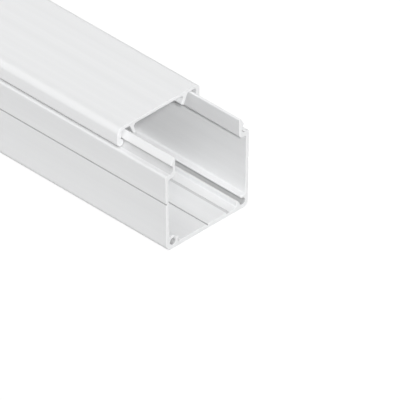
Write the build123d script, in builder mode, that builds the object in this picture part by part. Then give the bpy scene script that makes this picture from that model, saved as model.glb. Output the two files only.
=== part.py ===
from build123d import *
import os
from math import cos, radians, tan

# Aluminium cable trunking: an extruded U-shaped base and the extruded lid that clips on to it.
# Millimetres. X runs along the trunking, Y across it, Z up. The origin is the middle of the underside.
# Heights are measured from the underside and half widths from the middle plane.

# Overall sizes
length = 1000.0
base_width = 45.0
height = 45.0
lid_setback = 27.0

# Base: floor and walls
floor_thickness = 2.0
wall_thickness = 1.5
wall_splay = 1.0
foot_radius = 2.4
shoulder_radius = 1.0

# Base: ledge and lip above each wall
lid_rise = 9.0
ledge_thickness = 2.1
groove_radius = 2.0
neck_thickness = 1.4
lip_top_width = 0.85
lip_crest_radius = 0.3
lip_inner_radius = 0.6
lead_in_angle = 30.0
nose_radius = 0.45
heel_radius = 1.8
ledge_root_radius = 1.1

# Base: screw port in each bottom corner
port_radius = 1.4
port_rise = 0.1
port_web = 0.38
port_leg = 1.7
port_arm = 1.25
port_mouth = 1.6
port_mouth_angle = 41.5
port_tip_radius = 0.5
port_root_radius = 0.8
port_foot_radius = 0.7

# Base: guide lines for the drill
floor_line_width = 1.0
floor_line_depth = 0.4
side_channel_width = 1.5
side_channel_depth = 0.25
wall_line_width = 1.0
wall_line_depth = 0.35
line_overshoot = 0.5

# Lid
lid_thickness = 1.5
lid_step = 0.38
lid_leg_thickness = 2.05
lid_corner_radius = 2.6
lid_inner_radius = 0.9
bead_root_radius = 0.3
clip_clearance = 0.35
lip_gap = 0.5
guide_thickness = 1.5
guide_depth = 3.7
guide_gap = 2.6
guide_lean = 24.0
guide_inner_radius = 1.3
guide_outer_radius = 0.5


def outer_face(z):
    """Half width of the base over its splayed walls at height z."""
    return base_width / 2 + z * tan(radians(wall_splay))


def inner_face(z):
    """Half width of the cable space between the walls at height z."""
    return outer_face(z) - wall_thickness / cos(radians(wall_splay))


# Places that follow from the sizes
shoulder_z = height - lid_rise
heel_z = shoulder_z - ledge_thickness
lid_under_z = height - lid_thickness
lip_top_z = lid_under_z - lip_gap
bead_radius = groove_radius - clip_clearance
lid_half_width = outer_face(shoulder_z) - lid_step
clip_y = lid_half_width - bead_radius
clip_z = shoulder_z + groove_radius
lip_face_y = clip_y - groove_radius - neck_thickness
lip_crest_y = lip_face_y + lip_top_width
lead_in_foot_z = lip_top_z - (clip_y - lip_crest_y) / tan(radians(lead_in_angle))
port_z = floor_thickness + port_rise + port_radius
port_y = inner_face(port_z) - port_web - port_radius
port_top_z = port_z + port_radius + port_arm
port_face_y = port_y - port_radius - port_leg


def v_line(width, depth, rotation=0.0):
    """Cut a V-shaped line into the face that runs through the current location."""
    half_mouth = width / 2 * (depth + line_overshoot) / depth
    Polygon(
        (0, -depth),
        (half_mouth, line_overshoot),
        (-half_mouth, line_overshoot),
        rotation=rotation,
        align=None,
        mode=Mode.SUBTRACT,
    )


# Base section: the right half is drawn and mirrored, then the line on one side only is cut.
with BuildPart() as trunking_base:
    with BuildSketch(Plane.YZ.offset(-length / 2)) as base_section:
        # From the middle of the underside: wall, ledge, lip, screw port block, floor.
        with BuildLine():
            FilletPolyline(
                (0, 0),
                (outer_face(0), 0),
                (outer_face(shoulder_z), shoulder_z),
                (clip_y, shoulder_z),
                (clip_y, lead_in_foot_z),
                (lip_crest_y, lip_top_z),
                (lip_face_y, lip_top_z),
                (lip_face_y, heel_z),
                (inner_face(heel_z), heel_z),
                (inner_face(port_top_z), port_top_z),
                (port_face_y, port_top_z),
                (port_face_y, floor_thickness),
                (0, floor_thickness),
                radius=[
                    0,
                    foot_radius,
                    shoulder_radius,
                    0,
                    0,
                    lip_crest_radius,
                    lip_inner_radius,
                    heel_radius,
                    ledge_root_radius,
                    port_root_radius,
                    0,
                    port_foot_radius,
                    0,
                ],
                close=True,
            )
        make_face()

        # Snap groove: a round hollow that leaves a nose on the lip.
        with Locations((clip_y, clip_z)):
            Circle(groove_radius, mode=Mode.SUBTRACT)
        groove_crest = (clip_y, clip_z + groove_radius)
        nose = base_section.vertices().sort_by_distance(groove_crest)[0]
        fillet(nose, nose_radius)

        # Screw port: a bore with a mouth that opens up and inwards to the cable space.
        with Locations((port_y, port_z)):
            Circle(port_radius, mode=Mode.SUBTRACT)
            Rectangle(
                2 * (port_radius + port_leg + port_arm),
                port_mouth,
                rotation=180 - port_mouth_angle,
                align=(Align.MIN, Align.CENTER),
                mode=Mode.SUBTRACT,
            )
        mouth_tips = base_section.vertices().sort_by_distance((port_face_y, port_top_z))[:2]
        fillet(mouth_tips, port_tip_radius)

        # Line at half height on the outside of the wall.
        with Locations((outer_face(height / 2), height / 2)):
            v_line(wall_line_width, wall_line_depth, rotation=-90 - wall_splay)

        mirror(about=Plane.YZ)

        # Line in the middle of the floor, and a shallow channel a quarter of the width to the right.
        with Locations((0, floor_thickness)):
            v_line(floor_line_width, floor_line_depth)
        with Locations((base_width / 4, floor_thickness)):
            Rectangle(side_channel_width, 2 * side_channel_depth, mode=Mode.SUBTRACT)
    extrude(amount=length)
trunking_base.part.label = "trunking_base"


# Lid section: a flat top, two outer legs that end in snap beads, and two leaning guide legs.
with BuildPart() as trunking_lid:
    with BuildSketch(Plane.YZ.offset(-length / 2 - lid_setback)) as lid_section:
        leg_face_y = lid_half_width - lid_leg_thickness
        with BuildLine():
            FilletPolyline(
                (0, lid_under_z),
                (leg_face_y, lid_under_z),
                (leg_face_y, clip_z),
                (lid_half_width, clip_z),
                (lid_half_width, height),
                (0, height),
                radius=[0, lid_inner_radius, 0, 0, lid_corner_radius, 0],
                close=True,
            )
        make_face()

        # Snap bead: a round foot on the leg, on the same centre as the groove of the base.
        with Locations((clip_y, clip_z)):
            Circle(bead_radius)
        bead_root = lid_section.vertices().sort_by_distance((leg_face_y, clip_z + bead_radius))[0]
        fillet(bead_root, bead_root_radius)

        # Guide leg: it leans towards the middle and has a round tip.
        guide_root_y = lip_face_y - guide_gap
        guide_tip_y = guide_root_y - guide_depth * tan(radians(guide_lean))
        guide_reach = (guide_depth + lid_thickness / 2) / cos(radians(guide_lean))
        with Locations((guide_tip_y, lid_under_z - guide_depth)):
            Circle(guide_thickness / 2)
            Rectangle(
                guide_thickness,
                guide_reach,
                rotation=-guide_lean,
                align=(Align.CENTER, Align.MIN),
            )
        half_root = guide_thickness / 2 / cos(radians(guide_lean))
        inner_root = (guide_root_y - half_root, lid_under_z)
        outer_root = (guide_root_y + half_root, lid_under_z)
        fillet(lid_section.vertices().sort_by_distance(inner_root)[0], guide_inner_radius)
        fillet(lid_section.vertices().sort_by_distance(outer_root)[0], guide_outer_radius)

        mirror(about=Plane.YZ)
    extrude(amount=length)
trunking_lid.part.label = "trunking_lid"


os.makedirs("parts", exist_ok=True)
export_step(trunking_base.part, "parts/trunking_base.step")
export_step(trunking_lid.part, "parts/trunking_lid.step")
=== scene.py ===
"""Looks of the aluminium cable trunking: an extruded base and its clip-on lid.

Metres, in the frame of the packed model: X runs along the trunking, Y across it and Z up. The origin
is the middle of the flat underside. The near end is the one at +X, where the lid is set back.
"""

from math import atan2, cos, hypot, pi, radians, sin, sqrt, tan

import bpy
from mathutils import Matrix, Vector


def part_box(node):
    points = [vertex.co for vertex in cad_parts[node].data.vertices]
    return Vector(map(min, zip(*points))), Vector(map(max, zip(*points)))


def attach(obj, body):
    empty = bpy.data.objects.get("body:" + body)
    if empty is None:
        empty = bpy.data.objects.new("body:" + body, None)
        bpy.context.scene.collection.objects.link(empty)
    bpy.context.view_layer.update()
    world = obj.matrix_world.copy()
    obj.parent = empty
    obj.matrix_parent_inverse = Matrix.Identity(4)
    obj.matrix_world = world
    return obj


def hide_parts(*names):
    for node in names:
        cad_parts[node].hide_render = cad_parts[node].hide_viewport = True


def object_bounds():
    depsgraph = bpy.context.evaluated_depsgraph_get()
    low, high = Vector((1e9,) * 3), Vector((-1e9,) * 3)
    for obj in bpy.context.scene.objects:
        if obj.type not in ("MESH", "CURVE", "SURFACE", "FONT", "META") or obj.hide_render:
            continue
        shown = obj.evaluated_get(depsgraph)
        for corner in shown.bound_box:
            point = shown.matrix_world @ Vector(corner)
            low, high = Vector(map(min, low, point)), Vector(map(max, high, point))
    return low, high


bl_info = {
    "name": "Aluminium cable trunking",
    "version": (1, 0, 0),
    "blender": (4, 5, 0),
    "location": "3D View > Sidebar > Trunking",
    "description": "Builds an extruded cable trunking with a clip-on lid, and a pale studio around it",
    "category": "Add Mesh",
}

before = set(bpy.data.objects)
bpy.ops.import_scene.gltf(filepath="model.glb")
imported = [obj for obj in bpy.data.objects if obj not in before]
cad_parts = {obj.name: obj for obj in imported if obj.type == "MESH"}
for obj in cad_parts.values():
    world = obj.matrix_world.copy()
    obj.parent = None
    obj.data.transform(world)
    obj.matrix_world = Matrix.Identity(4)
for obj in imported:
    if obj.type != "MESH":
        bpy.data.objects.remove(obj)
CAD_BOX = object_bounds()
BASE_LOW, BASE_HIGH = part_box("trunking_base")
LID_LOW, LID_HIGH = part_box("trunking_lid")

MM = 0.001

# Outlines: arc steps, where points hold a long straight run flat, and which points count as one
ARC_STEP = radians(7.5)
HOLD = 0.2 * MM
LONG_RUN = 4 * HOLD
SAME = 0.0001 * MM

# Points of the groove's and the bead's arcs that get painted shade, a darker colour where shade falls
GROOVE_SHADE_POINTS = slice(2, -2)
SEAM_SHADE_POINTS = slice(-14, -4)

# Meshes
WELD = 0.001 * MM
SHARP_ANGLE = radians(20.0)
SAWN = "sawn"
INSET = "inset"
# Name of the mesh attribute that carries painted shade: how much darker each point is made
RECESS_SHADE = "recess"

# Aluminium: how metallic and glossy it is, and how much the tones vary
METALLIC = 0.22
SPECULAR = 0.35
DIM_BAND = 0.96
DIM_SAWN = 0.95
ROUGHNESS_SWING = 0.03
BUMP_DISTANCE = 0.05 * MM
TONE_LOW, TONE_HIGH = 0.3, 0.7
# Colour towards which the painted shade darkens the metal
SHADE_BLACK = (0.0, 0.0, 0.0, 1.0)

# Textures: scales per metre along X, Y and Z, turn of the saw marks, fineness on each piece
DIE_LINE_SCALE = (1.2, 2600.0, 2600.0)
BAND_SCALE = (0.8, 260.0, 260.0)
SAW_MARK_SCALE = (1.0, 120.0, 3200.0)
SAW_MARK_TURN = (radians(28.0), 0.0, 0.0)
PATCH_SCALE = 350.0
BASE_FINENESS = 1.0
LID_FINENESS = 1.1

# Studio
FLOOR_HALF = 12.0
FLOOR_GAP = 0.02 * MM
SENSOR_WIDTH = 36.0
CLIP_START = 0.1
PICTURE_SIDE_PX = 400


# Properties


def size(name, millimetres, description):
    """A length that the user gives, with its default in millimetres."""
    return bpy.props.FloatProperty(
        name=name,
        description=description,
        default=millimetres * MM,
        min=0.0,
        precision=5,
        subtype="DISTANCE",
        unit="LENGTH",
    )


def turn(name, angle, description):
    """An angle that the user gives, with its default in degrees."""
    return bpy.props.FloatProperty(
        name=name,
        description=description,
        default=radians(angle),
        subtype="ANGLE",
        unit="ROTATION",
    )


def share(name, value, description):
    """A number from 0 to 1 that the user gives."""
    return bpy.props.FloatProperty(
        name=name, description=description, default=value, min=0.0, max=1.0, subtype="FACTOR"
    )


def level(name, value, description):
    """A number from 0 up that the user gives."""
    return bpy.props.FloatProperty(name=name, description=description, default=value, min=0.0)


def colour(name, value, description):
    """A colour that the user gives, as linear red, green and blue."""
    return bpy.props.FloatVectorProperty(
        name=name, description=description, default=value, size=3, min=0.0, max=1.0, subtype="COLOR"
    )


class BaseSizes(bpy.types.PropertyGroup):
    """Sizes of the extruded base."""

    width: size("Width", 45.0, "Width over the foot of the walls")
    shoulder: size("Shoulder", 36.0, "Height of the ledge above the underside")
    floor: size("Floor", 2.0, "Thickness of the floor")
    wall: size("Wall", 1.5, "Thickness of each wall")
    splay: turn("Splay", 1.0, "Angle by which each wall leans out")
    foot_radius: size("Foot Radius", 2.4, "Rounding of the bottom edges")
    shoulder_radius: size("Shoulder Radius", 1.0, "Rounding of the outer edge of the ledge")
    ledge: size("Ledge", 2.1, "Thickness of the ledge above each wall")
    ledge_root_radius: size("Ledge Root Radius", 1.1, "Rounding between wall and ledge")
    groove_radius: size("Groove Radius", 2.0, "Radius of the clip groove")
    neck: size("Neck", 1.4, "Thickness of the lip behind the groove")
    lip_top: size("Lip Top", 0.85, "Width of the flat top of the lip")
    crest_radius: size("Crest Radius", 0.3, "Rounding of the outer edge of the lip's top")
    lip_inner_radius: size("Lip Inner Radius", 0.6, "Rounding of the inner edge of the lip's top")
    lead_in: turn("Lead-in", 30.0, "Angle of the slope that guides the lid on")
    nose_radius: size("Nose Radius", 0.45, "Rounding of the nose above the groove")
    heel_radius: size("Heel Radius", 1.8, "Rounding below the lip")
    lip_gap: size("Lip Gap", 0.5, "Gap between the lip's top and the lid")


class PortSizes(bpy.types.PropertyGroup):
    """Sizes of the screw port in each bottom corner."""

    radius: size("Radius", 1.4, "Radius of the bore")
    rise: size("Rise", 0.1, "Height of the bore above the floor")
    web: size("Web", 0.38, "Distance from the bore to the inner face of the wall")
    leg: size("Leg", 1.7, "Thickness of the block beside the bore")
    arm: size("Arm", 1.25, "Thickness of the block above the bore")
    mouth: size("Mouth", 1.6, "Width of the slot that opens the bore to the cable space")
    mouth_angle: turn("Mouth Angle", 41.5, "Angle of the slot above the horizontal")
    tip_radius: size("Tip Radius", 0.5, "Rounding of the two tips beside the slot")
    root_radius: size("Root Radius", 0.8, "Rounding between the block and the wall")
    foot_radius: size("Foot Radius", 0.7, "Rounding between the block and the floor")


class LineSizes(bpy.types.PropertyGroup):
    """Sizes of the guide lines for the drill."""

    floor_width: size("Floor Line Width", 1.0, "Width of the line in the middle of the floor")
    floor_depth: size("Floor Line Depth", 0.4, "Depth of the line in the middle of the floor")
    channel_width: size("Channel Width", 1.5, "Width of the shallow channel beside it")
    channel_depth: size("Channel Depth", 0.25, "Depth of the shallow channel")
    wall_width: size("Wall Line Width", 1.0, "Width of the line outside each wall")
    wall_depth: size("Wall Line Depth", 0.35, "Depth of the line outside each wall")


class LidSizes(bpy.types.PropertyGroup):
    """Sizes of the extruded lid."""

    plate: size("Plate", 1.5, "Thickness of the flat top")
    step: size("Step", 0.38, "Distance from the shoulder of the base in to the lid's side")
    leg: size("Leg", 2.05, "Thickness of the outer legs")
    corner_radius: size("Corner Radius", 2.6, "Rounding of the top edges")
    inner_radius: size("Inner Radius", 0.9, "Rounding between plate and leg")
    bead_root_radius: size("Bead Root Radius", 0.3, "Rounding between leg and clip bead")
    clip_clearance: size("Clip Clearance", 0.35, "Gap between bead and groove")
    guide: size("Guide", 1.5, "Thickness of the guide legs")
    guide_depth: size("Guide Depth", 3.7, "Depth of the guide legs below the plate")
    guide_gap: size("Guide Gap", 2.6, "Distance from the lip in to the root of the guide leg")
    guide_lean: turn("Guide Lean", 24.0, "Angle by which the guide legs lean inwards")
    guide_inner_radius: size("Guide Inner Radius", 1.3, "Rounding inside the guide leg's root")
    guide_outer_radius: size("Guide Outer Radius", 0.5, "Rounding outside the guide leg's root")


class Finish(bpy.types.PropertyGroup):
    """Colours and texture of the aluminium."""

    base_colour: colour("Base", (0.8, 0.805, 0.81), "Anodised colour of the base")
    # Lighter than the base's colour: the difference is painted light, which makes the lid's lit top
    # read brighter
    lid_colour: colour("Lid", (0.825, 0.83, 0.835), "Anodised colour of the lid")
    sawn_colour: colour("Sawn", (0.85, 0.855, 0.86), "Colour of the sawn ends")
    roughness: share("Roughness", 0.48, "Roughness of the satin anodised faces")
    sawn_roughness: share("Sawn Roughness", 0.6, "Roughness of the sawn ends")
    die_line_depth: share("Die Line Depth", 0.12, "Strength of the fine lines along the trunking")
    saw_mark_depth: share("Saw Mark Depth", 0.25, "Strength of the marks on the sawn ends")
    deburr: size("Deburr", 0.16, "Chamfer around each sawn end")


class RecessShades(bpy.types.PropertyGroup):
    """Painted shade: how much darker the metal is painted inside the grooves and lines and under the
    lid's beads, where shade falls.
    """

    # Each share darkens the colour there as painted shade
    line: share("Guide Lines", 0.7, "Darker tone at the bottom of the V-shaped lines")
    channel: share("Floor Channel", 0.25, "Darker tone at the bottom of the shallow channel")
    bore: share("Screw Ports", 0.35, "Darker tone in the screw ports")
    groove: share("Clip Grooves", 0.25, "Darker tone in the clip grooves")
    # Painted shade under the lid's clip beads, where they meet the groove
    seam: share("Lid Seam", 0.5, "Darker tone under the lid's clip beads")


class Studio(bpy.types.PropertyGroup):
    """Camera, floor and lights."""

    pixels_per_mm: level("Pixels per Millimetre", 2.547, "Scale of the picture at the trunking's end")
    azimuth: turn("Azimuth", 45.0, "Direction of the camera round the trunking")
    elevation: turn("Elevation", 35.264, "Height of the camera above the horizon")
    half_field: turn("Half Field", 0.65, "Half of the angle that the camera sees")
    aim_right: size("Aim Right", 12.96, "Picture centre to the right of the near bottom corner")
    aim_up: size("Aim Up", 20.31, "Picture centre above the near bottom corner")
    aim_back: size("Aim Back", 20.0, "Depth behind the near bottom corner where the scale holds")
    world: level("World", 0.16, "Strength of the even light from all around")
    mirrored: share("Mirrored", 0.42, "Share of the white surroundings that the metal mirrors")
    key: level("Key", 3.95, "Strength of the main lamp")
    key_azimuth: turn("Key Azimuth", 50.0, "Direction of the main lamp round the trunking")
    key_elevation: turn("Key Elevation", 36.0, "Height of the main lamp above the horizon")
    key_softness: turn("Key Softness", 8.0, "Angle over which the main lamp spreads")
    fill: level("Fill", 1.8, "Strength of the lamp on the far side")
    fill_azimuth: turn("Fill Azimuth", 215.0, "Direction of the far lamp round the trunking")
    fill_elevation: turn("Fill Elevation", 8.0, "Height of the far lamp above the horizon")
    fill_softness: turn("Fill Softness", 60.0, "Angle over which the far lamp spreads")
    top: level("Top", 0.5, "Strength of the lamp above the lid")
    top_azimuth: turn("Top Azimuth", 10.0, "Direction of the top lamp round the trunking")
    top_elevation: turn("Top Elevation", 78.0, "Height of the top lamp above the horizon")
    top_softness: turn("Top Softness", 30.0, "Angle over which the top lamp spreads")
    floor_colour: colour("Floor", (0.4, 0.4, 0.4), "Colour that the floor throws back")
    floor_glow: level("Floor Glow", 0.57, "What the floor adds to reach white in the picture")


GROUPS = {
    "trunking_base": BaseSizes,
    "trunking_port": PortSizes,
    "trunking_lines": LineSizes,
    "trunking_lid": LidSizes,
    "trunking_finish": Finish,
    "trunking_recesses": RecessShades,
    "trunking_studio": Studio,
}


# Sections


def arc(centre, radius, start, end):
    """Points along an arc from the start angle to the end angle."""
    steps = max(2, round(abs(end - start) / ARC_STEP))
    angles = (start + (end - start) * n / steps for n in range(steps + 1))
    return [(centre[0] + radius * cos(a), centre[1] + radius * sin(a)) for a in angles]


def square(points):
    """Corners with no rounding."""
    return [(y, z, 0.0) for y, z in points]


def unit(a, b):
    """The direction from one point to another."""
    reach = hypot(b[0] - a[0], b[1] - a[1])
    return (b[0] - a[0]) / reach, (b[1] - a[1]) / reach


def rounded(corners):
    """The outline through the corners, (y, z, radius), with each corner rounded by its radius."""
    outline = []
    for n, (y, z, radius) in enumerate(corners):
        if radius == 0:
            outline.append((y, z))
            continue
        before = unit((y, z), corners[n - 1])
        after = unit((y, z), corners[(n + 1) % len(corners)])
        middle = unit((0, 0), (before[0] + after[0], before[1] + after[1]))
        half = sqrt((1 - before[0] * after[0] - before[1] * after[1]) / 2)
        centre = y + middle[0] * radius / half, z + middle[1] * radius / half
        reach = radius * sqrt(1 - half * half) / half
        start = atan2(z + before[1] * reach - centre[1], y + before[0] * reach - centre[0])
        end = atan2(z + after[1] * reach - centre[1], y + after[0] * reach - centre[0])
        turned = (end - start + pi) % (2 * pi) - pi
        outline += arc(centre, radius, start, start + turned)
    return outline


def held(outline):
    """The outline with a point close to each end of its straight runs, which keeps them flat."""
    points = []
    for n, a in enumerate(outline):
        b = outline[(n + 1) % len(outline)]
        points.append(a)
        run = hypot(b[0] - a[0], b[1] - a[1])
        if run > LONG_RUN:
            for part in (HOLD / run, 1 - HOLD / run):
                points.append(tuple(p + (q - p) * part for p, q in zip(a, b, strict=True)))
    return points


def insets(outline):
    """How far each point moves when the outline shrinks by one unit."""
    moves = []
    for n, here in enumerate(outline):
        into = unit(outline[n - 1], here)
        out = unit(here, outline[(n + 1) % len(outline)])
        side = -into[1] - out[1], into[0] + out[0]
        share_of_two = 1 + into[0] * out[0] + into[1] * out[1]
        moves.append((side[0] / share_of_two, side[1] / share_of_two))
    return moves


def both_sides(right_half):
    """A whole outline from its right half, which starts and ends on the middle plane."""
    left_half = [(-y, z) for y, z in reversed(right_half)]
    outline = right_half + left_half
    steps = zip(outline[-1:] + outline[:-1], outline, strict=True)
    return [here for last, here in steps if hypot(here[0] - last[0], here[1] - last[1]) > SAME]


def with_painted_shades(outline, painted_shades):
    """The outline as (y, z, shade), where shade is the painted shade at each point: how much darker it
    is, from 0 to 1.
    """
    return [(y, z, painted_shades.get((abs(y), z), 0.0)) for y, z in outline]


class Section:
    """Places in the trunking's section that follow from the sizes."""

    def __init__(self, scene):
        base, port, lid = scene.trunking_base, scene.trunking_port, scene.trunking_lid
        self.base, self.port, self.lid, self.lines = base, port, lid, scene.trunking_lines
        self.tones = scene.trunking_recesses
        # Painted shade by point of the outline: how much darker the colour is made there
        self.painted_shades = {}
        self.top = LID_HIGH.z
        self.under = self.top - lid.plate
        self.lip_top = self.under - base.lip_gap
        self.heel = base.shoulder - base.ledge
        self.bead_radius = base.groove_radius - lid.clip_clearance
        self.lid_side = self.outer(base.shoulder) - lid.step
        self.clip = self.lid_side - self.bead_radius, base.shoulder + base.groove_radius
        self.lip_face = self.clip[0] - base.groove_radius - base.neck
        self.crest = self.lip_face + base.lip_top
        port_z = base.floor + port.rise + port.radius
        self.bore = self.inner(port_z) - port.web - port.radius, port_z
        self.port_top = port_z + port.radius + port.arm
        self.port_face = self.bore[0] - port.radius - port.leg

    def outer(self, z):
        """Half width over the walls at a height."""
        return self.base.width / 2 + z * tan(self.base.splay)

    def inner(self, z):
        """Half width between the walls at a height."""
        return self.outer(z) - self.base.wall / cos(self.base.splay)

    def wall_line(self):
        """The V-shaped line at half height outside the wall."""
        z = self.top / 2
        y = self.outer(z)
        tilt, half = self.base.splay, self.lines.wall_width / 2
        depth = self.lines.wall_depth
        bottom = y - depth * cos(tilt), z + depth * sin(tilt)
        # Painted shade at the bottom of the V-line
        self.painted_shades[bottom] = self.tones.line
        return [
            (y - half * sin(tilt), z - half * cos(tilt)),
            bottom,
            (y + half * sin(tilt), z + half * cos(tilt)),
        ]

    def groove(self):
        """The clip groove and the rounded nose where it meets the lead-in slope."""
        radius, nose, slope = self.base.groove_radius, self.base.nose_radius, self.base.lead_in
        y = self.crest - nose * cos(slope) - self.clip[0]
        z = self.lip_top - nose * sin(slope) - self.clip[1]
        down = y * sin(slope) - z * cos(slope)
        reach = -down - sqrt(down**2 - y**2 - z**2 + (radius + nose) ** 2)
        y, z = y + reach * sin(slope), z - reach * cos(slope)
        lean = atan2(z, y)
        centre = self.clip[0] + y, self.clip[1] + z
        hollow = arc(self.clip, radius, radians(270), lean)
        # Painted shade in the groove's hollow
        self.painted_shades |= dict.fromkeys(hollow[GROOVE_SHADE_POINTS], self.tones.groove)
        return hollow + arc(centre, nose, lean - pi, slope)

    def bore_outline(self):
        """The screw port's bore, with its slot and the two tips beside that."""
        port, (y, z) = self.port, self.bore
        lean = pi - port.mouth_angle
        along, across = (cos(lean), sin(lean)), (-sin(lean), cos(lean))
        half = port.mouth / 2
        upper = (self.port_top - z + across[1] * half) / along[1]
        lower = (self.port_face - y - across[0] * half) / along[0]
        opening = atan2(half, sqrt(port.radius**2 - half**2))
        upper_tip = y - across[0] * half + along[0] * upper, self.port_top, port.tip_radius
        lower_tip = self.port_face, z + across[1] * half + along[1] * lower, port.tip_radius
        around = arc(self.bore, port.radius, lean - opening, lean + opening - 2 * pi)
        # Painted shade inside the bore
        self.painted_shades |= dict.fromkeys(around, self.tones.bore)
        return [upper_tip, *square(around), lower_tip]

    def base_outline(self):
        """The section of the base."""
        base, port, lines = self.base, self.port, self.lines
        channel = base.width / 4
        half_line, half_channel = lines.floor_width / 2, lines.channel_width / 2
        corners = [
            (0.0, 0.0, 0.0),
            (self.outer(0), 0.0, base.foot_radius),
            *square(self.wall_line()),
            (self.outer(base.shoulder), base.shoulder, base.shoulder_radius),
            *square(self.groove()),
            (self.crest, self.lip_top, base.crest_radius),
            (self.lip_face, self.lip_top, base.lip_inner_radius),
            (self.lip_face, self.heel, base.heel_radius),
            (self.inner(self.heel), self.heel, base.ledge_root_radius),
            (self.inner(self.port_top), self.port_top, port.root_radius),
            *self.bore_outline(),
            (self.port_face, base.floor, port.foot_radius),
            (half_line, base.floor, 0.0),
            (0.0, base.floor - lines.floor_depth, 0.0),
        ]
        outline = both_sides(rounded(corners))
        before = outline.index((half_line, base.floor))
        channel_bottom = [
            (channel + half_channel, base.floor - lines.channel_depth),
            (channel - half_channel, base.floor - lines.channel_depth),
        ]
        outline[before:before] = [
            (channel + half_channel, base.floor),
            *channel_bottom,
            (channel - half_channel, base.floor),
        ]
        # Painted shade at the bottom of the floor line and the shallow channel
        self.painted_shades[0.0, base.floor - lines.floor_depth] = self.tones.line
        self.painted_shades |= dict.fromkeys(channel_bottom, self.tones.channel)
        return with_painted_shades(outline, self.painted_shades)

    def guide_leg(self):
        """The guide leg between its two roots."""
        lid = self.lid
        half_root = lid.guide / 2 / cos(lid.guide_lean)
        root = self.lip_face - lid.guide_gap
        tip = root - lid.guide_depth * tan(lid.guide_lean), self.under - lid.guide_depth
        end = arc(tip, lid.guide / 2, pi - lid.guide_lean, 2 * pi - lid.guide_lean)
        return [
            (root - half_root, self.under, lid.guide_inner_radius),
            *square(end),
            (root + half_root, self.under, lid.guide_outer_radius),
        ]

    def bead(self):
        """The clip bead, from its root on the leg's inner face to the lid's side."""
        y, z = self.clip
        root, radius = self.lid.bead_root_radius, self.bead_radius
        leg_face = self.lid_side - self.lid.leg
        aside = leg_face - root - y
        centre = y + aside, z + sqrt((radius + root) ** 2 - aside**2)
        lean = atan2(centre[1] - z, aside)
        foot = arc(self.clip, radius, lean, 2 * pi)
        # Painted shade on the underside of the bead, where it meets the groove
        self.painted_shades |= dict.fromkeys(foot[SEAM_SHADE_POINTS], self.tones.seam)
        return arc(centre, root, 0.0, lean - pi) + foot

    def lid_outline(self):
        """The section of the lid."""
        lid = self.lid
        corners = [
            (0.0, self.under, 0.0),
            *self.guide_leg(),
            (self.lid_side - lid.leg, self.under, lid.inner_radius),
            *square(self.bead()),
            (self.lid_side, self.top, lid.corner_radius),
            (0.0, self.top, 0.0),
        ]
        return with_painted_shades(both_sides(rounded(corners)), self.painted_shades)


# Node trees


def socket(tree, name, kind, value=None, direction="INPUT"):
    """Adds a named socket to a node tree's interface."""
    made = tree.interface.new_socket(name=name, in_out=direction, socket_type=kind)
    if value is not None:
        made.default_value = value


class Wiring:
    """Short calls that add and join nodes in one tree."""

    def __init__(self, tree):
        self.nodes, self.link = tree.nodes, tree.links.new

    def put(self, value, where):
        """Sets a socket to a value, or joins it to another socket. None leaves it as it is."""
        if isinstance(value, bpy.types.NodeSocket):
            self.link(value, where)
        elif value is not None:
            where.default_value = value

    def add(self, kind, values, **settings):
        """A new node with its settings made, and with inputs set or joined by name."""
        node = self.nodes.new(kind)
        for name, value in settings.items():
            setattr(node, name, value)
        for name, value in values.items():
            self.put(value, node.inputs[name])
        return node

    def maths(self, operation, a, b):
        """The result of a maths operation on two sockets or numbers."""
        node = self.add("ShaderNodeMath", {}, operation=operation)
        self.put(a, node.inputs[0])
        self.put(b, node.inputs[1])
        return node.outputs[0]

    def mapped(self, vector, scale, rotation=None):
        """A position that is scaled and, where asked, turned."""
        values = {"Vector": vector, "Scale": scale, "Rotation": rotation}
        return self.add("ShaderNodeMapping", values).outputs[0]

    def noise(self, vector, scale, detail, roughness):
        """Soft noise from 0 to 1."""
        values = {"Vector": vector, "Scale": scale, "Detail": detail, "Roughness": roughness}
        return self.add("ShaderNodeTexNoise", values).outputs["Fac"]

    def ranged(self, value, low, high, to_low, to_high):
        """A value moved from one range to another."""
        node = self.nodes.new("ShaderNodeMapRange")
        for n, given in enumerate((value, low, high, to_low, to_high)):
            self.put(given, node.inputs[n])
        return node.outputs[0]

    def mixed(self, factor, a, b, kind="RGBA"):
        """A mix of two colours or, with kind FLOAT, of two numbers."""
        node = self.add("ShaderNodeMix", {}, data_type=kind)
        enabled = [s for s in node.inputs if s.enabled]
        for given, where in zip((factor, a, b), enabled, strict=True):
            self.put(given, where)
        return next(s for s in node.outputs if s.enabled)

    def attribute(self, name):
        """A number that the mesh carries under a name."""
        return self.add("ShaderNodeAttribute", {}, attribute_name=name).outputs["Fac"]


# Extruded bars


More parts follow.
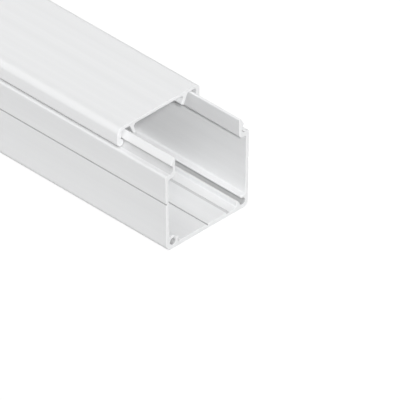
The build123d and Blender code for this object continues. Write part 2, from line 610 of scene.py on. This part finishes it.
def extruded_bar_tree():
    """A section face run along X between two sawn ends, each with a deburred edge."""
    tree = bpy.data.node_groups.new("extruded_bar", "GeometryNodeTree")
    socket(tree, "Section", "NodeSocketGeometry")
    socket(tree, "Far End", "NodeSocketFloat")
    socket(tree, "Near End", "NodeSocketFloat")
    socket(tree, "Deburr", "NodeSocketFloat")
    socket(tree, "Sharp Angle", "NodeSocketFloat", SHARP_ANGLE)
    socket(tree, "Finish", "NodeSocketMaterial")
    socket(tree, "Bar", "NodeSocketGeometry", direction="OUTPUT")
    wiring = Wiring(tree)
    given = tree.nodes.new("NodeGroupInput").outputs
    shrink = wiring.add(
        "GeometryNodeInputNamedAttribute", {"Name": INSET}, data_type="FLOAT_VECTOR"
    ).outputs["Attribute"]

    def along(value):
        """A vector of that length along the trunking."""
        return wiring.add("ShaderNodeCombineXYZ", {"X": value}).outputs[0]

    def shrunk(by):
        """The offset that shrinks the section by a length."""
        values = {"Vector": shrink, "Scale": by}
        return wiring.add("ShaderNodeVectorMath", values, operation="SCALE").outputs[0]

    def moved(mesh, offset, selection=None):
        """The mesh with its selected points moved."""
        values = {"Geometry": mesh, "Offset": offset, "Selection": selection}
        return wiring.add("GeometryNodeSetPosition", values).outputs[0]

    def extruded(mesh, offset, selection=None):
        """The mesh with its selected faces extruded, and the selection of their new top."""
        values = {"Mesh": mesh, "Offset": offset, "Selection": selection, "Individual": False}
        node = wiring.add("GeometryNodeExtrudeMesh", values)
        return node.outputs["Mesh"], node.outputs["Top"]

    def marked(mesh, selection=None):
        """The mesh with its selected faces marked as sawn."""
        values = {"Geometry": mesh, "Selection": selection, "Name": SAWN, "Value": 1.0}
        kind = "GeometryNodeStoreNamedAttribute"
        return wiring.add(kind, values, data_type="FLOAT", domain="FACE").outputs[0]

    deburr = given["Deburr"]
    grow = wiring.maths("MULTIPLY", deburr, -1.0)
    run = wiring.maths("SUBTRACT", given["Near End"], given["Far End"])
    straight = wiring.maths("SUBTRACT", run, wiring.maths("MULTIPLY", deburr, 2.0))
    far = moved(moved(given["Section"], along(given["Far End"])), shrunk(deburr))
    body, end = extruded(far, along(deburr))
    body = moved(body, shrunk(grow), end)
    body, end = extruded(body, along(straight), end)
    body, end = extruded(body, along(deburr), end)
    body = moved(body, shrunk(deburr), end)

    flip = wiring.add("GeometryNodeFlipFaces", {"Mesh": far})
    join = wiring.add("GeometryNodeJoinGeometry", {"Geometry": marked(flip.outputs[0])})
    wiring.put(marked(body, end), join.inputs["Geometry"])
    merge = wiring.add(
        "GeometryNodeMergeByDistance", {"Geometry": join.outputs[0], "Distance": WELD}
    )

    angle = tree.nodes.new("GeometryNodeInputMeshEdgeAngle").outputs["Unsigned Angle"]
    sharp = wiring.maths("GREATER_THAN", angle, given["Sharp Angle"])
    smooth_faces = wiring.add(
        "GeometryNodeSetShadeSmooth", {"Geometry": merge.outputs[0]}, domain="FACE"
    )
    sharp_edges = wiring.add(
        "GeometryNodeSetShadeSmooth",
        {"Geometry": smooth_faces.outputs[0], "Selection": sharp, "Shade Smooth": False},
        domain="EDGE",
    )

    realize = wiring.add("GeometryNodeRealizeInstances", {"Geometry": sharp_edges.outputs[0]})
    coat = wiring.add(
        "GeometryNodeSetMaterial",
        {"Geometry": realize.outputs[0], "Material": given["Finish"]},
    )
    wiring.put(coat.outputs[0], tree.nodes.new("NodeGroupOutput").inputs[0])
    return tree


def section_object(name, outline):
    """An object whose mesh is the section as one face in the plane across the trunking."""
    points = held(outline)
    mesh = bpy.data.meshes.new(name)
    mesh.from_pydata([(0.0, y, z) for y, z, _ in points], [], [range(len(points))])
    moves = mesh.attributes.new(INSET, "FLOAT_VECTOR", "POINT")
    for item, (y, z) in zip(moves.data, insets(points), strict=True):
        item.vector = (0.0, y, z)
    # The painted shade of each point, which the finish mixes towards dark
    painted_shades = mesh.attributes.new(RECESS_SHADE, "FLOAT", "POINT")
    for item, (_, _, recess) in zip(painted_shades.data, points, strict=True):
        item.value = recess
    made = bpy.data.objects.new(name, mesh)
    bpy.context.scene.collection.objects.link(made)
    return made


def extrude_bar(made, far_end, near_end, deburr, finish):
    """Runs an object's section along the trunking and leaves a plain mesh."""
    tree = bpy.data.node_groups.get("extruded_bar") or extruded_bar_tree()
    modifier = made.modifiers.new("extruded_bar", "NODES")
    modifier.node_group = tree
    values = {"Far End": far_end, "Near End": near_end, "Deburr": deburr, "Finish": finish}
    for item in tree.interface.items_tree:
        if item.in_out == "INPUT" and item.name in values:
            modifier[item.identifier] = values[item.name]
    bpy.context.view_layer.update()
    depsgraph = bpy.context.evaluated_depsgraph_get()
    mesh = bpy.data.meshes.new_from_object(made.evaluated_get(depsgraph))
    made.modifiers.clear()
    drawn, made.data = made.data, mesh
    bpy.data.meshes.remove(drawn)
    mesh.name = made.name
    if INSET in mesh.attributes:
        mesh.attributes.remove(mesh.attributes[INSET])
    if len(mesh.polygons) < len(mesh.vertices) / 2:
        raise RuntimeError(f"{made.name} came out with no faces")


# Aluminium


def texture_group(name):
    """An empty shader node group that turns a position into a tone and a height."""
    tree = bpy.data.node_groups.new(name, "ShaderNodeTree")
    socket(tree, "Position", "NodeSocketVector")
    socket(tree, "Fineness", "NodeSocketFloat")
    socket(tree, "Tone", "NodeSocketFloat", direction="OUTPUT")
    socket(tree, "Height", "NodeSocketFloat", direction="OUTPUT")
    given = tree.nodes.new("NodeGroupInput").outputs
    out = tree.nodes.new("NodeGroupOutput").inputs
    return tree, Wiring(tree), given, out


def die_lines_group():
    """Fine lines that the die leaves along the trunking, and broad soft bands of tone."""
    tree, wiring, given, out = texture_group("die_lines")
    fine = wiring.mapped(given["Position"], DIE_LINE_SCALE)
    broad = wiring.mapped(given["Position"], BAND_SCALE)
    fine_lines = wiring.noise(fine, given["Fineness"], detail=3.0, roughness=0.6)
    bands = wiring.noise(broad, given["Fineness"], detail=2.0, roughness=0.5)
    wiring.put(wiring.ranged(bands, TONE_LOW, TONE_HIGH, 0.0, 1.0), out["Tone"])
    wiring.put(fine_lines, out["Height"])
    return tree


def saw_marks_group():
    """Fine parallel marks that the saw leaves across an end."""
    tree, wiring, given, out = texture_group("saw_marks")
    turned = wiring.mapped(given["Position"], SAW_MARK_SCALE, SAW_MARK_TURN)
    marks = wiring.noise(turned, given["Fineness"], detail=2.0, roughness=0.55)
    patches = wiring.noise(given["Position"], PATCH_SCALE, detail=1.0, roughness=0.5)
    wiring.put(wiring.ranged(patches, TONE_LOW, TONE_HIGH, 0.0, 1.0), out["Tone"])
    wiring.put(marks, out["Height"])
    return tree


def group_node(wiring, name, build, position, fineness):
    """A shader node group placed in a material, built the first time that it is needed."""
    tree = bpy.data.node_groups.get(name) or build()
    values = {"Position": position, "Fineness": fineness}
    return wiring.add("ShaderNodeGroup", values, node_tree=tree).outputs


def aluminium(name, tint, finish, fineness):
    """Satin anodised aluminium, with bare sawn metal and painted shade where the mesh says so."""
    material = bpy.data.materials.new(name)
    material.use_nodes = True
    material.diffuse_color = (*tint, 1.0)
    material.metallic = 1.0
    wiring = Wiring(material.node_tree)
    shader = material.node_tree.nodes["Principled BSDF"]
    shader.inputs["Metallic"].default_value = METALLIC
    shader.inputs["Specular IOR Level"].default_value = SPECULAR
    position = wiring.nodes.new("ShaderNodeTexCoord").outputs["Object"]
    sawn = wiring.attribute(SAWN)
    lines = group_node(wiring, "die_lines", die_lines_group, position, fineness)
    marks = group_node(wiring, "saw_marks", saw_marks_group, position, fineness)

    dim = tuple(DIM_BAND * c for c in tint) + (1.0,)
    sawn_tint = tuple(finish.sawn_colour)
    sawn_dim = tuple(DIM_SAWN * c for c in sawn_tint) + (1.0,)
    drawn = wiring.mixed(lines["Tone"], dim, (*tint, 1.0))
    # Painted shade: the colour darkens towards black by the recess attribute, in the grooves, lines and
    # ports and under the lid's beads
    drawn = wiring.mixed(wiring.attribute(RECESS_SHADE), drawn, SHADE_BLACK)
    cut = wiring.mixed(marks["Tone"], sawn_dim, (*sawn_tint, 1.0))
    wiring.put(wiring.mixed(sawn, drawn, cut), shader.inputs["Base Color"])

    dull, bright = finish.roughness + ROUGHNESS_SWING, finish.roughness - ROUGHNESS_SWING
    satin = wiring.ranged(lines["Tone"], 0.0, 1.0, dull, bright)
    rough = wiring.mixed(sawn, satin, finish.sawn_roughness, kind="FLOAT")
    wiring.put(rough, shader.inputs["Roughness"])

    line_height = wiring.maths("MULTIPLY", lines["Height"], finish.die_line_depth)
    mark_height = wiring.maths("MULTIPLY", marks["Height"], finish.saw_mark_depth)
    height = wiring.mixed(sawn, line_height, mark_height, kind="FLOAT")
    values = {"Strength": 1.0, "Distance": BUMP_DISTANCE, "Height": height}
    wiring.put(wiring.add("ShaderNodeBump", values).outputs[0], shader.inputs["Normal"])
    return material


# Operators


class TRUNKING_OT_base(bpy.types.Operator):
    """Builds the U-shaped base in place of its plain solid"""

    bl_idname = "trunking.base"
    bl_label = "Build Base"
    bl_options = {"REGISTER", "UNDO"}

    def execute(self, context):
        """Runs the base's section along the trunking."""
        scene = context.scene
        finish = scene.trunking_finish
        tint = tuple(finish.base_colour)
        coat = aluminium("anodised_base", tint, finish, BASE_FINENESS)
        made = section_object("base_extrusion", Section(scene).base_outline())
        extrude_bar(made, BASE_LOW.x, BASE_HIGH.x, finish.deburr, coat)
        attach(made, "base")
        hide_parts("trunking_base")
        return {"FINISHED"}


class TRUNKING_OT_lid(bpy.types.Operator):
    """Builds the clip-on lid in place of its plain solid"""

    bl_idname = "trunking.lid"
    bl_label = "Build Lid"
    bl_options = {"REGISTER", "UNDO"}

    def execute(self, context):
        """Runs the lid's section along the trunking."""
        scene = context.scene
        finish = scene.trunking_finish
        tint = tuple(finish.lid_colour)
        coat = aluminium("anodised_lid", tint, finish, LID_FINENESS)
        made = section_object("lid_extrusion", Section(scene).lid_outline())
        extrude_bar(made, LID_LOW.x, LID_HIGH.x, finish.deburr, coat)
        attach(made, "lid")
        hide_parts("trunking_lid")
        return {"FINISHED"}


def seen_share(wiring, mirrored):
    """1 for what the camera sees, less for what metal mirrors, and 0 for light that falls on things."""
    path = wiring.nodes.new("ShaderNodeLightPath").outputs
    indirect = wiring.maths("MAXIMUM", path["Is Glossy Ray"], path["Is Transmission Ray"])
    dimmed = wiring.maths("MULTIPLY", indirect, mirrored)
    return wiring.maths("MAXIMUM", path["Is Camera Ray"], dimmed)


def lamp(name, strength, towards, softness):
    """A distant soft lamp that the metal doesn't mirror."""
    light = bpy.data.lights.new(name, "SUN")
    light.energy = strength
    light.angle = softness
    made = bpy.data.objects.new(name, light)
    bpy.context.scene.collection.objects.link(made)
    made.visible_glossy = False
    made.rotation_euler = towards.to_track_quat("Z", "Y").to_euler()


def direction(azimuth, elevation):
    """The direction towards a place round the trunking, azimuth 0 on the side of -Y."""
    return Vector(
        (sin(azimuth) * cos(elevation), -cos(azimuth) * cos(elevation), sin(elevation))
    )


class TRUNKING_OT_stage(bpy.types.Operator):
    """Sets up the floor, the lights and the camera"""

    bl_idname = "trunking.stage"
    bl_label = "Set Up Studio"
    bl_options = {"REGISTER", "UNDO"}

    def execute(self, context):
        """Makes the floor, the world, three lamps and the camera."""
        studio = context.scene.trunking_studio
        self.make_floor(studio)
        self.make_world(context.scene, studio)
        for name in ("key", "fill", "top"):
            angles = (getattr(studio, f"{name}_{part}") for part in ("azimuth", "elevation"))
            softness = getattr(studio, f"{name}_softness")
            lamp(f"{name}_lamp", getattr(studio, name), direction(*angles), softness)
        self.make_camera(context.scene, studio)
        context.scene.view_settings.view_transform = "Standard"
        return {"FINISHED"}

    def make_floor(self, studio):
        """A wide pale floor just under the trunking, seen only from above."""
        half = FLOOR_HALF
        mesh = bpy.data.meshes.new("floor")
        corners = [(-half, -half, 0.0), (half, -half, 0.0), (half, half, 0.0), (-half, half, 0.0)]
        mesh.from_pydata(corners, [], [(0, 1, 2, 3)])
        mesh.transform(Matrix.Translation((0.0, 0.0, CAD_BOX[0].z - FLOOR_GAP)))
        floor = bpy.data.objects.new("floor", mesh)
        bpy.context.scene.collection.objects.link(floor)

        material = bpy.data.materials.new("pale_floor")
        material.use_nodes = True
        wiring = Wiring(material.node_tree)
        wiring.nodes.clear()
        matt = wiring.add("ShaderNodeBsdfDiffuse", {"Color": (*studio.floor_colour, 1.0)})
        seen = seen_share(wiring, studio.mirrored)
        strength = wiring.maths("MULTIPLY", seen, studio.floor_glow)
        glow = wiring.add("ShaderNodeEmission", {"Strength": strength})
        both = wiring.nodes.new("ShaderNodeAddShader")
        wiring.put(matt.outputs[0], both.inputs[0])
        wiring.put(glow.outputs[0], both.inputs[1])
        clear = wiring.nodes.new("ShaderNodeBsdfTransparent")
        sides = wiring.nodes.new("ShaderNodeMixShader")
        wiring.put(wiring.nodes.new("ShaderNodeNewGeometry").outputs["Backfacing"], sides.inputs[0])
        wiring.put(both.outputs[0], sides.inputs[1])
        wiring.put(clear.outputs[0], sides.inputs[2])
        out = wiring.nodes.new("ShaderNodeOutputMaterial")
        wiring.put(sides.outputs[0], out.inputs["Surface"])
        mesh.materials.append(material)

    def make_world(self, scene, studio):
        """Even light from all around, seen as plain white and mirrored a little darker."""
        world = bpy.data.worlds.new("studio")
        world.use_nodes = True
        scene.world = world
        wiring = Wiring(world.node_tree)
        shine = world.node_tree.nodes["Background"]
        shine.inputs["Color"].default_value = (1.0, 1.0, 1.0, 1.0)
        seen = seen_share(wiring, studio.mirrored)
        wiring.put(wiring.maths("MAXIMUM", seen, studio.world), shine.inputs["Strength"])

    def make_camera(self, scene, studio):
        """The camera that sees the near end from above, as the photo does."""
        data = bpy.data.cameras.new("camera")
        camera = bpy.data.objects.new("camera", data)
        scene.collection.objects.link(camera)
        scene.camera = camera
        back = direction(studio.azimuth, studio.elevation)
        turned = back.to_track_quat("Z", "Y").to_matrix()
        right, up = turned.col[0], turned.col[1]
        corner = Vector((BASE_HIGH.x, -scene.trunking_base.width / 2, BASE_LOW.z))
        aim = corner + right * studio.aim_right + up * studio.aim_up - back * studio.aim_back
        half_picture = PICTURE_SIDE_PX / 2 / studio.pixels_per_mm * MM
        distance = half_picture / tan(studio.half_field)
        data.sensor_width = SENSOR_WIDTH
        data.lens = SENSOR_WIDTH / 2 / tan(studio.half_field)
        data.clip_start, data.clip_end = CLIP_START, 2 * distance
        camera.matrix_world = Matrix.Translation(aim + back * distance) @ turned.to_4x4()


OPERATORS = (TRUNKING_OT_base, TRUNKING_OT_lid, TRUNKING_OT_stage)


class TRUNKING_PT_panel(bpy.types.Panel):
    """Lists the pieces of the trunking and their sizes"""

    bl_idname = "TRUNKING_PT_panel"
    bl_label = "Cable Trunking"
    bl_space_type = "VIEW_3D"
    bl_region_type = "UI"
    bl_category = "Trunking"

    def draw(self, context):
        """One button for each operator and one box for each group of sizes."""
        layout = self.layout
        for operator in OPERATORS:
            layout.operator(operator.bl_idname)
        for name, group in GROUPS.items():
            box = layout.box()
            box.label(text=group.__doc__.rstrip("."))
            given = getattr(context.scene, name)
            for prop in group.__annotations__:
                box.prop(given, prop)


CLASSES = (*GROUPS.values(), *OPERATORS, TRUNKING_PT_panel)


def register():
    """Adds the classes, and the groups of sizes to every scene."""
    for each in CLASSES:
        bpy.utils.register_class(each)
    for name, group in GROUPS.items():
        setattr(bpy.types.Scene, name, bpy.props.PointerProperty(type=group))


def unregister():
    """Takes away what register adds."""
    for name in GROUPS:
        delattr(bpy.types.Scene, name)
    for each in reversed(CLASSES):
        bpy.utils.unregister_class(each)


def main():
    register()
    for build in (bpy.ops.trunking.base, bpy.ops.trunking.lid, bpy.ops.trunking.stage):
        build()
    bpy.context.view_layer.update()


if __name__ == "__main__":
    main()
